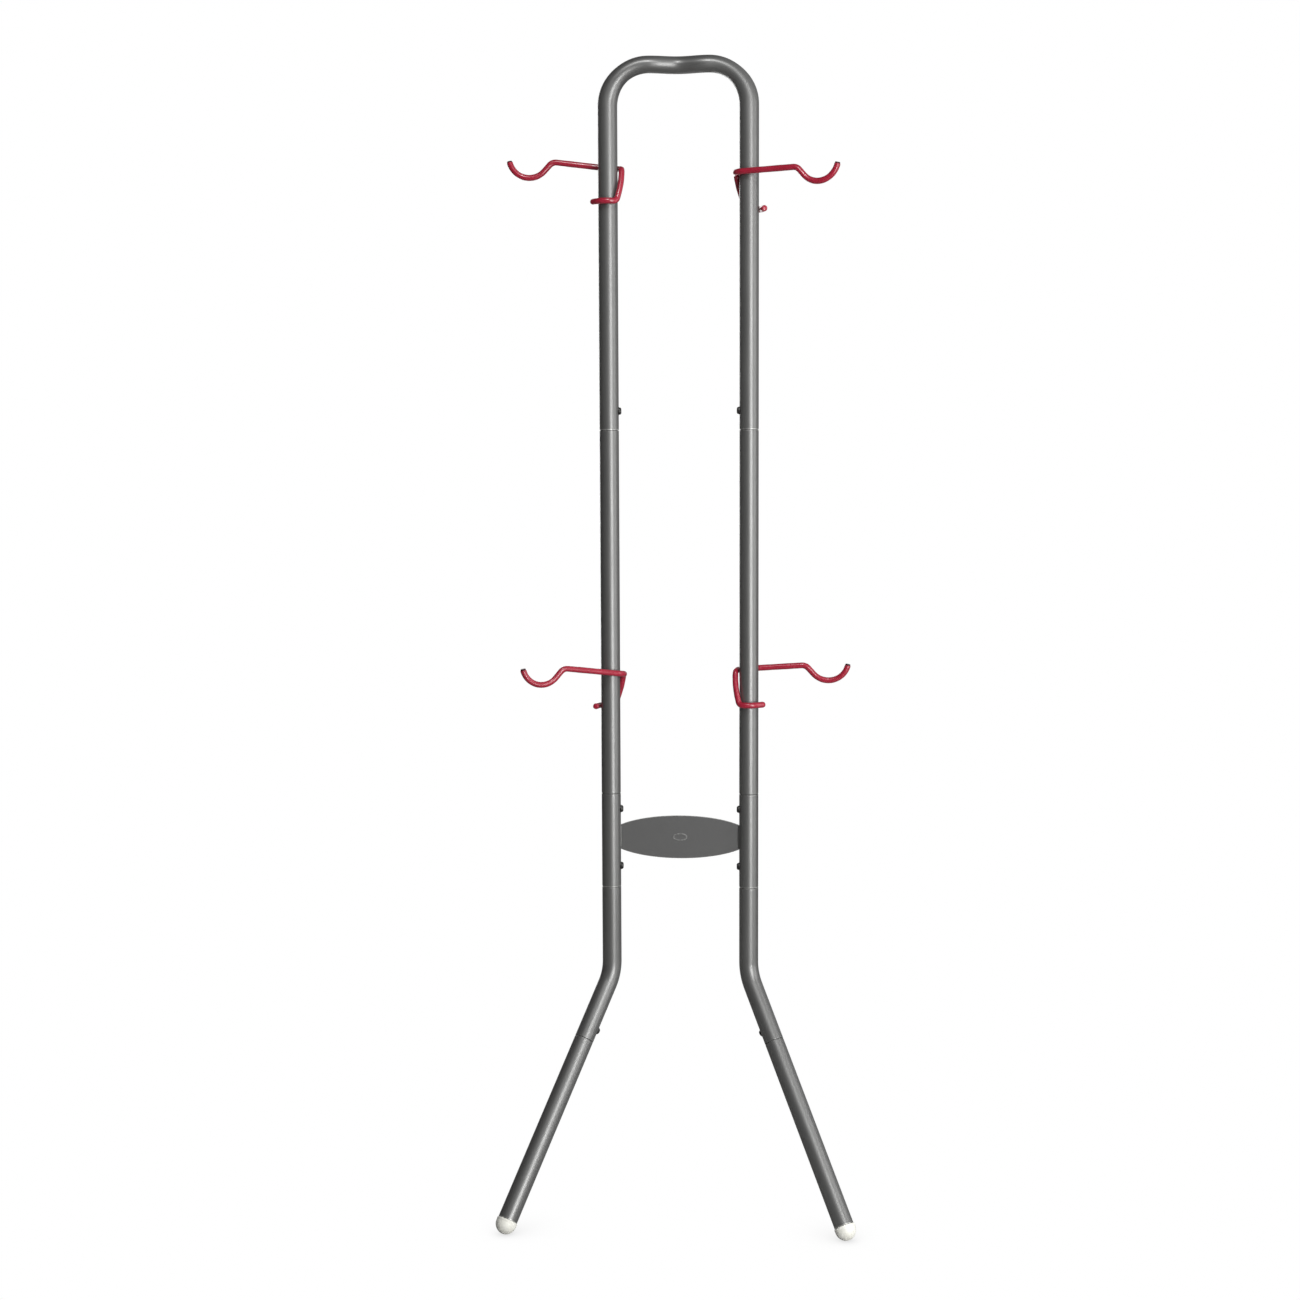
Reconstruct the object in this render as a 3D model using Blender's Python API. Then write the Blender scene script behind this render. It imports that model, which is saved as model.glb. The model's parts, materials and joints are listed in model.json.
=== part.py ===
"""Two-bike storage rack that leans on a wall: a bolted tube frame with four wire hooks.

Metres, +Z up. The front is -Y, the wall is at +Y, and X runs from left to right as seen from the
front. The origin is on the floor, in the middle of the rack's box. Each hook grips its upright by
one full turn of wire: it slides along the tube and swivels round it.
"""

import math

import bmesh
import bpy
from mathutils import Matrix, Vector

# Frame
TUBE_RADIUS = 0.019
TUBE_WALL = 0.0015
TUBE_SIDES = 20
UPRIGHT_SPACING = 0.274
BEND_RADIUS = 0.078
CROSSBAR_HEIGHT = 2.2325
CROSSBAR_BOW = 0.012
UPPER_SEAM = 1.532
MIDDLE_SEAM = 0.812
LOWER_SEAM = 0.625
KNEE_HEIGHT = 0.448
LEG_SEAM_DISTANCE = 0.146
FOOT_SPACING = 0.6466
FOOT_FORWARD = 0.250

# The hoop's tube is flattened where it is bent, and along its crossbar
FLATTENING = 0.14
WIDENING = 0.13
FLATTENING_START = math.radians(10)
FLATTENING_END = math.radians(60)

# Swaged necks that slide into the next tube
NECK_RADIUS = 0.0171
NECK_LENGTH = 0.055
SEAM_GAP = 0.0010
SHOULDER_RISE = 0.0002
SWAGE_LENGTH = 0.006

# Joint bolts and the nuts inside the necks, measured from the tube's axis
UPPER_BOLT = UPPER_SEAM + 0.037
MIDDLE_BOLT = MIDDLE_SEAM - 0.031
LOWER_BOLT = LOWER_SEAM + 0.041
LEG_BOLT_DISTANCE = LEG_SEAM_DISTANCE - 0.027
LEG_BOLT_TURN = math.radians(40)
FASTENER_SIDES = 12
SHANK_RADIUS = 0.004
HOLE_RADIUS = 0.00435
SHANK_START = 0.0070
SHANK_CHAMFER = 0.0008
HEAD_RADIUS = 0.007
HEAD_SEAT = TUBE_RADIUS + 0.00035
HEAD_EDGE = 0.0016
HEAD_HEIGHT = 0.0046
HEAD_SHOULDER_RADIUS = 0.0055
HEAD_CROWN = 0.0007
SOCKET_RIM_RADIUS = 0.0034
SOCKET_CORNER_RADIUS = 0.0029
SOCKET_DEPTH = 0.0022
NUT_CORNER_RADIUS = 0.0075
NUT_BOTTOM = 0.0065
NUT_TOP = 0.0130

# Brace plate: an ellipse whose ends are cut off at the tubes
PLATE_HEIGHT = 0.7246
PLATE_HALF_LENGTH = 0.144
PLATE_HALF_HEIGHT = 0.043
PLATE_THICKNESS = 0.003
PLATE_GAP = 0.0004

# Foot caps and wall pad
CAP_RADIUS = 0.0205
CAP_RIM = 0.0062
CAP_STEM_RADIUS = 0.0171
CAP_STEM_LENGTH = 0.024
CAP_SEAT_GAP = 0.0004
CAP_FLAT_DEPTH = 0.0008
CAP_CHAMFER = 0.001
PAD_THICKNESS = 0.0085
PAD_SIDE_THICKNESS = 0.0115
PAD_HALF_WIDTH = 0.014
PAD_HALF_ANGLE = math.radians(20)
PAD_GAP = 0.00035

# Hooks: dipped wire, drawn along its centre line
WIRE_RADIUS = 0.006
WIRE_SIDES = 10
WRAP_RADIUS = 0.0268
HOOK_DROP = 0.068
ARM_LENGTH = 0.1025
NECK_SLOPE = math.radians(47.5)
CREST_RADIUS = 0.0165
CUP_NECK_LENGTH = 0.0149
CUP_RADIUS = 0.0396
CUP_END_SLOPE = math.radians(80)
WRAP_BEND_RADIUS = 0.011
WRAP_BEND_START = math.radians(71)
WRAP_DIVE = math.radians(68)
WRAP_END = math.radians(227)
STUB_LENGTH = 0.0163
WIRE_END_CHAMFER = 0.001

# Where each hook is set, how far its arm is swung forwards, and how steeply its arm was bent
HOOK_HEIGHTS = {"upper_left": 2.040, "upper_right": 2.025, "lower_left": 1.055, "lower_right": 1.060}
HOOK_SWIVELS = {"upper_left": 1.0, "upper_right": 23.0, "lower_left": 27.0, "lower_right": 5.0}
ARM_SLOPES = {"upper_left": 7.0, "upper_right": 0.5, "lower_left": 7.5, "lower_right": 4.0}

# Slip rings between the hooks' lower turns and the uprights
RING_INNER_RADIUS = 0.01935
RING_OUTER_RADIUS = 0.02015
RING_HEIGHT = 0.008

# Worked out from the sizes above
UPRIGHT_X = UPRIGHT_SPACING / 2
FOOT_X = FOOT_SPACING / 2
FLAT_HALF_HEIGHT = TUBE_RADIUS * (1 - FLATTENING)
FLAT_HALF_DEPTH = TUBE_RADIUS * (1 + WIDENING)
WALL_REACH = CROSSBAR_BOW + FLAT_HALF_DEPTH + PAD_THICKNESS
UPRIGHT_Y = (FOOT_FORWARD + CAP_RADIUS - WALL_REACH) / 2
CAP_CENTRE_HEIGHT = CAP_RADIUS - CAP_FLAT_DEPTH
SIDES = (("left", -1), ("right", 1))


def clear_scene():
    """Removes whatever the file starts with."""
    for obj in list(bpy.data.objects):
        bpy.data.objects.remove(obj, do_unlink=True)


def make_material(name, colour, roughness, metallic):
    """A plain Principled material."""
    material = bpy.data.materials.new(name)
    material.use_nodes = True
    shader = material.node_tree.nodes["Principled BSDF"]
    shader.inputs["Base Color"].default_value = (*colour, 1.0)
    shader.inputs["Roughness"].default_value = roughness
    shader.inputs["Metallic"].default_value = metallic
    return material


def add_object(name, mesh, material, location=(0, 0, 0)):
    """Links a mesh to the scene under its part's name."""
    obj = bpy.data.objects.new(name, mesh)
    obj.location = location
    obj.data.materials.append(material)
    bpy.context.scene.collection.objects.link(obj)
    return obj


def finish_mesh(name, bm, smooth_angle=math.radians(35)):
    """Turns a bmesh into a mesh with outward faces, shaded smooth up to an angle."""
    bmesh.ops.recalc_face_normals(bm, faces=bm.faces)
    mesh = bpy.data.meshes.new(name)
    bm.to_mesh(mesh)
    bm.free()
    mesh.shade_smooth()
    mesh.set_sharp_from_angle(angle=smooth_angle)
    return mesh


def loft(name, rings, closed):
    """Skins a row of rings; a closed row joins its last ring to its first, an open one is capped."""
    bm = bmesh.new()
    rows = [[bm.verts.new(point) for point in ring] for ring in rings]
    count = len(rows[0])
    pairs = list(zip(rows, rows[1:]))
    if closed:
        pairs.append((rows[-1], rows[0]))
    else:
        bm.faces.new(rows[0])
        bm.faces.new(reversed(rows[-1]))
    for near, far in pairs:
        for i in range(count):
            j = (i + 1) % count
            bm.faces.new((near[i], near[j], far[j], far[i]))
    return finish_mesh(name, bm)


def circle(centre, normal, across, radius, sides, flat_radius=None):
    """Points round a centre; with flat_radius, every other point is drawn in, for a hexagon."""
    side = normal.cross(across)
    points = []
    for i in range(sides):
        angle = math.tau * i / sides
        r = flat_radius if flat_radius and i % 2 else radius
        points.append(centre + across * (r * math.cos(angle)) + side * (r * math.sin(angle)))
    return points


def carried_frames(points, across):
    """Tangents along a row of points, and a cross direction carried along without twist."""
    frames = []
    for i, point in enumerate(points):
        ahead = points[min(i + 1, len(points) - 1)]
        behind = points[max(i - 1, 0)]
        tangent = (ahead - behind).normalized()
        across = (across - tangent * across.dot(tangent)).normalized()
        frames.append((point, tangent, across))
    return frames


def hollow_tube(name, stations, across, material):
    """A tube from stations of (point, outer radius, inner radius), open at both ends."""
    frames = carried_frames([station[0] for station in stations], across)
    outer = []
    inner = []
    for (point, tangent, side), (_, outer_radius, inner_radius) in zip(frames, stations):
        outer.append(circle(point, tangent, side, outer_radius, TUBE_SIDES))
        inner.append(circle(point, tangent, side, inner_radius, TUBE_SIDES))
    mesh = loft(name, outer + inner[::-1], closed=True)
    return add_object(name, mesh, material)


def flattened_ring(centre, tangent, across, radius):
    """Points round the hoop's tube: round where it is upright, flattened where it lies over."""
    turn = math.acos(min(abs(tangent.z), 1.0))
    share = (turn - FLATTENING_START) / (FLATTENING_END - FLATTENING_START)
    share = min(max(share, 0.0), 1.0)
    share = share * share * (3 - 2 * share)
    side = tangent.cross(across)
    near = radius - TUBE_RADIUS * FLATTENING * share
    wide = radius + TUBE_RADIUS * WIDENING * share
    points = []
    for i in range(TUBE_SIDES):
        angle = math.tau * i / TUBE_SIDES
        points.append(centre + across * (near * math.cos(angle)) + side * (wide * math.sin(angle)))
    return points


def turned(name, rings, axis, material, location, closed=False):
    """A turned piece from rings of (radius, height, flat radius or None) along an axis."""
    across = axis.orthogonal().normalized()
    rows = []
    for radius, height, flat_radius in rings:
        rows.append(circle(axis * height, axis, across, radius, FASTENER_SIDES, flat_radius))
    return add_object(name, loft(name, rows, closed), material, location)


def bent_path(corners, steps):
    """Straight runs through the corners, each corner rounded to the tube bender's radius."""
    path = [corners[0]]
    for before, corner, after in zip(corners, corners[1:], corners[2:]):
        incoming = (corner - before).normalized()
        outgoing = (after - corner).normalized()
        turn = incoming.angle(outgoing)
        start = corner - incoming * (BEND_RADIUS * math.tan(turn / 2))
        inward = (outgoing - incoming * outgoing.dot(incoming)).normalized()
        for i in range(steps + 1):
            angle = turn * i / steps
            ahead = incoming * (BEND_RADIUS * math.sin(angle))
            aside = inward * (BEND_RADIUS * (1 - math.cos(angle)))
            path.append(start + ahead + aside)
    path.append(corners[-1])
    return path


def crossbar_bow(x):
    """How far the crossbar is pushed back towards the wall at x."""
    half = UPRIGHT_X - BEND_RADIUS
    if abs(x) >= half:
        return 0.0
    return CROSSBAR_BOW * (1 + math.cos(math.pi * x / half)) / 2


def crossbar_points(half_width, steps):
    """Points along the bowed crossbar from -half_width to half_width."""
    points = []
    for i in range(steps + 1):
        x = half_width * (2 * i / steps - 1)
        points.append(Vector((x, UPRIGHT_Y + crossbar_bow(x), CROSSBAR_HEIGHT)))
    return points


def upright_point(side, height):
    """A point on an upright's axis."""
    return Vector((side * UPRIGHT_X, UPRIGHT_Y, height))


def leg_direction(side):
    """The direction of a leg, from its knee to its foot."""
    knee = upright_point(side, KNEE_HEIGHT)
    foot = Vector((side * FOOT_X, UPRIGHT_Y - FOOT_FORWARD, CAP_CENTRE_HEIGHT))
    return (foot - knee).normalized()


def leg_length(side):
    """From the knee's corner to the centre of the foot cap's dome."""
    knee = upright_point(side, KNEE_HEIGHT)
    foot = Vector((side * FOOT_X, UPRIGHT_Y - FOOT_FORWARD, CAP_CENTRE_HEIGHT))
    return (foot - knee).length


def leg_point(side, distance):
    """A point on a leg's axis at a distance from the knee's corner."""
    return upright_point(side, KNEE_HEIGHT) + leg_direction(side) * distance


def neck_stations(tip, shoulder):
    """Stations of a swaged neck from its tip to the full tube behind its shoulder."""
    along = (shoulder - tip).normalized()
    bore = TUBE_RADIUS - TUBE_WALL
    neck_bore = NECK_RADIUS - TUBE_WALL
    return [
        (tip, NECK_RADIUS, neck_bore),
        (shoulder - along * SHOULDER_RISE, NECK_RADIUS, neck_bore),
        (shoulder, TUBE_RADIUS, neck_bore),
        (shoulder + along * SWAGE_LENGTH, TUBE_RADIUS, bore),
    ]


def plain_stations(points):
    """Stations of full tube through these points."""
    return [(point, TUBE_RADIUS, TUBE_RADIUS - TUBE_WALL) for point in points]


def make_hoop(material):
    """The inverted U at the top: two legs, two bends and the bowed crossbar."""
    half = UPRIGHT_X - BEND_RADIUS
    low_left = upright_point(-1, UPPER_SEAM)
    low_right = upright_point(1, UPPER_SEAM)
    top_left = upright_point(-1, CROSSBAR_HEIGHT)
    top_right = upright_point(1, CROSSBAR_HEIGHT)
    bends = bent_path([low_left, top_left, top_right, low_right], steps=7)
    middle = len(bends) // 2
    crossbar = crossbar_points(half, steps=10)[1:-1]
    points = bends[:middle] + crossbar + bends[middle:]
    outer = []
    inner = []
    for point, tangent, across in carried_frames(points, Vector((1, 0, 0))):
        outer.append(flattened_ring(point, tangent, across, TUBE_RADIUS))
        inner.append(flattened_ring(point, tangent, across, TUBE_RADIUS - TUBE_WALL))
    mesh = loft("top_hoop", outer + inner[::-1], closed=True)
    return add_object("top_hoop", mesh, material)


def make_uprights(material):
    """The two long straight tubes, necked at both ends."""
    for label, side in SIDES:
        top = neck_stations(
            upright_point(side, UPPER_SEAM + NECK_LENGTH),
            upright_point(side, UPPER_SEAM - SEAM_GAP),
        )
        bottom = neck_stations(
            upright_point(side, MIDDLE_SEAM - NECK_LENGTH),
            upright_point(side, MIDDLE_SEAM + SEAM_GAP),
        )
        stations = top + bottom[::-1]
        hollow_tube(f"{label}_upright", stations, Vector((1, 0, 0)), material)


def make_brace_tubes(material):
    """The two short tubes that the brace plate is welded to."""
    for label, side in SIDES:
        ends = [upright_point(side, MIDDLE_SEAM), upright_point(side, LOWER_SEAM)]
        hollow_tube(f"{label}_brace_tube", plain_stations(ends), Vector((1, 0, 0)), material)


def make_knee_tubes(material):
    """The bent tubes below the brace; their necks go up into the brace tubes."""
    for label, side in SIDES:
        neck = neck_stations(
            upright_point(side, LOWER_SEAM + NECK_LENGTH),
            upright_point(side, LOWER_SEAM - SEAM_GAP),
        )
        corners = [
            neck[-1][0],
            upright_point(side, KNEE_HEIGHT),
            leg_point(side, LEG_SEAM_DISTANCE),
        ]
        bend = plain_stations(bent_path(corners, steps=6)[1:])
        hollow_tube(f"{label}_knee_tube", neck + bend, Vector((1, 0, 0)), material)


def make_leg_tubes(material):
    """The straight splayed legs; their necks go up into the knee tubes."""
    for label, side in SIDES:
        neck = neck_stations(
            leg_point(side, LEG_SEAM_DISTANCE - NECK_LENGTH),
            leg_point(side, LEG_SEAM_DISTANCE + SEAM_GAP),
        )
        end = leg_point(side, leg_length(side) - CAP_RIM)
        hollow_tube(f"{label}_leg_tube", neck + plain_stations([end]), Vector((1, 0, 0)), material)


def make_brace_plate(material):
    """The upright elliptical plate between the brace tubes."""
    half_width = UPRIGHT_X - TUBE_RADIUS - PLATE_GAP
    steps = 16
    upper = []
    for i in range(steps + 1):
        x = half_width * (1 - 2 * i / steps)
        z = PLATE_HALF_HEIGHT * math.sqrt(1 - (x / PLATE_HALF_LENGTH) ** 2)
        upper.append((x, z))
    outline = upper + [(x, -z) for x, z in upper[::-1]]
    bm = bmesh.new()
    front = [bm.verts.new((x, -PLATE_THICKNESS / 2, z)) for x, z in outline]
    face = bm.faces.new(front)
    pushed = bmesh.ops.extrude_face_region(bm, geom=[face])
    moved = [part for part in pushed["geom"] if isinstance(part, bmesh.types.BMVert)]
    bmesh.ops.translate(bm, verts=moved, vec=(0, PLATE_THICKNESS, 0))
    mesh = finish_mesh("brace_plate", bm)
    add_object("brace_plate", mesh, material, (0, UPRIGHT_Y, PLATE_HEIGHT))


def make_foot_caps(material):
    """Plugs with a domed foot, cut flat where they stand on the floor."""
    dome_steps = 6
    for label, side in SIDES:
        axis = leg_direction(side)
        seat = leg_length(side) - CAP_RIM + CAP_SEAT_GAP
        across = axis.orthogonal().normalized()
        outline = [
            (CAP_STEM_RADIUS - CAP_CHAMFER, seat - CAP_STEM_LENGTH),
            (CAP_STEM_RADIUS, seat - CAP_STEM_LENGTH + CAP_CHAMFER),
            (CAP_STEM_RADIUS, seat),
            (CAP_RADIUS - CAP_CHAMFER, seat),
            (CAP_RADIUS, seat + CAP_CHAMFER),
        ]
        for i in range(dome_steps):
            angle = math.pi / 2 * i / dome_steps
            height = leg_length(side) + CAP_RADIUS * math.sin(angle)
            outline.append((CAP_RADIUS * math.cos(angle), height))
        rings = []
        for radius, distance in outline:
            rings.append(circle(leg_point(side, distance), axis, across, radius, TUBE_SIDES))
        mesh = loft(f"{label}_foot_cap", rings, closed=False)
        bm = bmesh.new()
        bm.from_mesh(mesh)
        everything = bm.verts[:] + bm.edges[:] + bm.faces[:]
        cut = bmesh.ops.bisect_plane(
            bm, geom=everything, plane_co=(0, 0, 0), plane_no=(0, 0, -1), clear_outer=True
        )
        rim = [part for part in cut["geom_cut"] if isinstance(part, bmesh.types.BMEdge)]
        bmesh.ops.contextual_create(bm, geom=rim)
        bm.to_mesh(mesh)
        bm.free()
        add_object(f"{label}_foot_cap", mesh, material)


def make_wall_pad(material):
    """The rubber pad on the back of the crossbar's bow, flat where it meets the wall."""
    wall = UPRIGHT_Y + WALL_REACH
    arc_steps = 8
    rings = []
    for point, tangent, _ in carried_frames(crossbar_points(PAD_HALF_WIDTH, 6), Vector((0, 0, 1))):
        back = Vector((0, 0, 1)).cross(tangent)
        ring = []
        for thickness, direction in ((PAD_GAP, 1), (PAD_SIDE_THICKNESS, -1)):
            for i in range(arc_steps + 1):
                angle = direction * PAD_HALF_ANGLE * (1 - 2 * i / arc_steps)
                deep = (FLAT_HALF_DEPTH + thickness) * math.cos(angle)
                high = (FLAT_HALF_HEIGHT + thickness) * math.sin(angle)
                corner = point + back * deep + Vector((0, 0, high))
                corner.y = min(corner.y, wall)
                ring.append(corner)
        rings.append(ring)
    add_object("wall_pad", loft("wall_pad", rings, closed=False), material)


def leg_bolt_direction(side):
    """Square to the leg, inwards and turned towards the wall."""
    along = leg_direction(side)
    inward = Vector((-side, 0, 0))
    inward = (inward - along * inward.dot(along)).normalized()
    backward = along.cross(inward)
    if backward.y < 0:
        backward = -backward
    return inward * math.cos(LEG_BOLT_TURN) + backward * math.sin(LEG_BOLT_TURN)


def bolt_places():
    """Name, axis point and outward direction of each joint bolt, all on the inner sides."""
    places = []
    for label, side in SIDES:
        inward = Vector((-side, 0, 0))
        places.append((f"{label}_upper", upright_point(side, UPPER_BOLT), inward))
        places.append((f"{label}_middle", upright_point(side, MIDDLE_BOLT), inward))
        places.append((f"{label}_lower", upright_point(side, LOWER_BOLT), inward))
        point = leg_point(side, LEG_BOLT_DISTANCE)
        places.append((f"{label}_leg", point, leg_bolt_direction(side)))
    return places


def make_bolts(material):
    """Button-head bolts with a hexagon socket."""
    top = HEAD_SEAT + HEAD_HEIGHT
    socket_flat = SOCKET_CORNER_RADIUS * math.cos(math.pi / 6)
    rings = [
        (SHANK_RADIUS - SHANK_CHAMFER, SHANK_START, None),
        (SHANK_RADIUS, SHANK_START + SHANK_CHAMFER, None),
        (SHANK_RADIUS, HEAD_SEAT, None),
        (HEAD_RADIUS, HEAD_SEAT, None),
        (HEAD_RADIUS, HEAD_SEAT + HEAD_EDGE, None),
        (HEAD_SHOULDER_RADIUS, top - HEAD_CROWN, None),
        (SOCKET_RIM_RADIUS, top, None),
        (SOCKET_CORNER_RADIUS, top, socket_flat),
        (SOCKET_CORNER_RADIUS, top - SOCKET_DEPTH, socket_flat),
    ]
    for label, point, direction in bolt_places():
        turned(f"{label}_bolt", rings, direction, material, point)


def make_nuts(material):
    """Hexagon nuts held inside the necks."""
    flat = NUT_CORNER_RADIUS * math.cos(math.pi / 6)
    rings = [
        (NUT_CORNER_RADIUS, NUT_BOTTOM, flat),
        (NUT_CORNER_RADIUS, NUT_TOP, flat),
        (HOLE_RADIUS, NUT_TOP, None),
        (HOLE_RADIUS, NUT_BOTTOM, None),
    ]
    for label, point, direction in bolt_places():
        turned(f"{label}_nut", rings, direction, material, point, closed=True)


def drill_bolt_holes():
    """Cuts each bolt's hole through the tube and through the neck inside it."""
    joined = {
        "upper": ("top_hoop", "{}_upright"),
        "middle": ("{}_brace_tube", "{}_upright"),
        "lower": ("{}_brace_tube", "{}_knee_tube"),
        "leg": ("{}_knee_tube", "{}_leg_tube"),
    }
    for label, point, direction in bolt_places():
        side_label, joint = label.split("_")
        bm = bmesh.new()
        depth = TUBE_RADIUS + 0.003 - NUT_TOP
        bmesh.ops.create_cone(
            bm, cap_ends=True, segments=12, radius1=HOLE_RADIUS, radius2=HOLE_RADIUS, depth=depth
        )
        middle = NUT_TOP + 0.0002 + depth / 2
        turn = direction.to_track_quat("Z", "Y").to_matrix().to_4x4()
        bm.transform(Matrix.Translation(point + direction * middle) @ turn)
        mesh = bpy.data.meshes.new(f"cutter_{label}")
        bm.to_mesh(mesh)
        bm.free()
        cutter = bpy.data.objects.new(f"cutter_{label}", mesh)
        cutter.hide_render = True
        cutter.display_type = "WIRE"
        bpy.context.scene.collection.objects.link(cutter)
        for pattern in joined[joint]:
            tube = bpy.data.objects[pattern.format(side_label)]
            hole = tube.modifiers.new(f"hole_{label}", "BOOLEAN")
            hole.operation = "DIFFERENCE"
            hole.solver = "EXACT"
            hole.object = cutter


def walk(start, heading, moves):
    """Points of a flat line of straights (length, 0, steps) and arcs (radius, turn, steps)."""
    x, y = start
    points = [(x, y)]
    for size, turn, steps in moves:
        for _ in range(steps):
            chord = size / steps
            if turn:
                chord = 2 * size * math.sin(abs(turn) / steps / 2)
            x += chord * math.cos(heading + turn / steps / 2)
            y += chord * math.sin(heading + turn / steps / 2)
            heading += turn / steps
            points.append((x, y))
    return points


def hook_line(hand, slope):
    """The wire's centre line from the cup's tip to the end of the stub, about the tube's axis."""
    profile = walk(
        (0.0, 0.0),
        slope,
        [
            (ARM_LENGTH, 0, 2),
            (CREST_RADIUS, -(slope + NECK_SLOPE), 5),
            (CUP_NECK_LENGTH, 0, 1),
            (CUP_RADIUS, NECK_SLOPE + CUP_END_SLOPE, 12),
        ],
    )
    line = [Vector((-out, hand * WRAP_RADIUS, up)) for out, up in profile[::-1]]

    bend = WRAP_BEND_RADIUS
    first_run = WRAP_RADIUS * WRAP_BEND_START / math.cos(slope)
    bends_drop = bend * (math.cos(slope) + 1 - 2 * math.cos(WRAP_DIVE))
    dive_drop = HOOK_DROP - first_run * math.sin(slope) - bends_drop
    dive = dive_drop / math.sin(WRAP_DIVE)
    bends_run = bend * (2 * math.sin(WRAP_DIVE) - math.sin(slope))
    used = WRAP_RADIUS * WRAP_BEND_START + bends_run + dive * math.cos(WRAP_DIVE)
    last_run = WRAP_RADIUS * WRAP_END - used
    unrolled = walk(
        (0.0, 0.0),
        -slope,
        [
            (first_run, 0, 7),
            (bend, -(WRAP_DIVE - slope), 4),
            (dive, 0, 3),
            (bend, WRAP_DIVE, 4),
            (last_run, 0, 6),
        ],
    )
    for run, up in unrolled[1:]:
        angle = run / WRAP_RADIUS
        x = WRAP_RADIUS * math.sin(angle)
        y = hand * WRAP_RADIUS * math.cos(angle)
        line.append(Vector((x, y, up)))
    leaving = Vector((math.cos(WRAP_END), -hand * math.sin(WRAP_END), 0))
    line.append(line[-1] + leaving * STUB_LENGTH)
    return line


def make_hook_mesh(name, hand, slope):
    """The bent wire, with its two cut ends chamfered."""
    frames = carried_frames(hook_line(hand, slope), Vector((0, 1, 0)))
    tip, tip_tangent, tip_across = frames[0]
    end, end_tangent, end_across = frames[-1]
    first = tip - tip_tangent * WIRE_END_CHAMFER
    last = end + end_tangent * WIRE_END_CHAMFER
    end_radius = WIRE_RADIUS - WIRE_END_CHAMFER
    rings = [circle(first, tip_tangent, tip_across, end_radius, WIRE_SIDES)]
    for point, tangent, across in frames:
        rings.append(circle(point, tangent, across, WIRE_RADIUS, WIRE_SIDES))
    rings.append(circle(last, end_tangent, end_across, end_radius, WIRE_SIDES))
    return loft(name, rings, closed=False)


def make_hooks(material):
    """Four hooks; the wire of a right one winds as a left one's does, turned round."""
    for label, height in HOOK_HEIGHTS.items():
        side = 1 if "right" in label else -1
        hand = 1 if "upper" in label else -1
        mesh = make_hook_mesh(f"{label}_hook", hand, math.radians(ARM_SLOPES[label]))
        hook = add_object(f"{label}_hook", mesh, material, upright_point(side, height))
        half_turn = math.pi if side > 0 else 0.0
        hook.rotation_euler = (0, 0, half_turn - side * math.radians(HOOK_SWIVELS[label]))


def make_slip_rings(material):
    """Thin sleeves hidden between each hook's lower turn and its upright."""
    for label, height in HOOK_HEIGHTS.items():
        side = 1 if "right" in label else -1
        middle = upright_point(side, height - HOOK_DROP)
        stations = []
        for end in (RING_HEIGHT / 2, -RING_HEIGHT / 2):
            point = middle + Vector((0, 0, end))
            stations.append((point, RING_OUTER_RADIUS, RING_INNER_RADIUS))
        hollow_tube(f"{label}_slip_ring", stations, Vector((1, 0, 0)), material)


def main():
    """Builds the whole rack."""
    clear_scene()
    paint = make_material("graphite_paint", (0.12, 0.12, 0.118), 0.42, 0.35)
    plate_paint = make_material("plate_paint", (0.125, 0.125, 0.122), 0.55, 0.2)
    vinyl = make_material("red_vinyl", (0.58, 0.025, 0.055), 0.3, 0.0)
    plastic = make_material("white_plastic", (0.9, 0.88, 0.8), 0.45, 0.0)
    bolt_steel = make_material("dark_bolt", (0.06, 0.06, 0.06), 0.4, 0.8)
    zinc = make_material("zinc_nut", (0.55, 0.55, 0.53), 0.35, 1.0)
    rubber = make_material("black_rubber", (0.02, 0.02, 0.02), 0.8, 0.0)
    make_hoop(paint)
    make_uprights(paint)
    make_brace_tubes(paint)
    make_brace_plate(plate_paint)
    make_knee_tubes(paint)
    make_leg_tubes(paint)
    make_foot_caps(plastic)
    make_wall_pad(rubber)
    make_bolts(bolt_steel)
    make_nuts(zinc)
    drill_bolt_holes()
    make_hooks(vinyl)
    make_slip_rings(rubber)


main()
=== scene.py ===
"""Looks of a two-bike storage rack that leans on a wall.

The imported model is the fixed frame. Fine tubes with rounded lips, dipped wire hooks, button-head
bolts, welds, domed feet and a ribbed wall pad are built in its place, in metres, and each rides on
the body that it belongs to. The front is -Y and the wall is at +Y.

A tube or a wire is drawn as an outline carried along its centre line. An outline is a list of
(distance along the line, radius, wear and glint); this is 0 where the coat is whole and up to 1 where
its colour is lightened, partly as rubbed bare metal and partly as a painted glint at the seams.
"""

import json
import math

import bmesh
import bpy
from mathutils import Euler, Matrix, Vector


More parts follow.
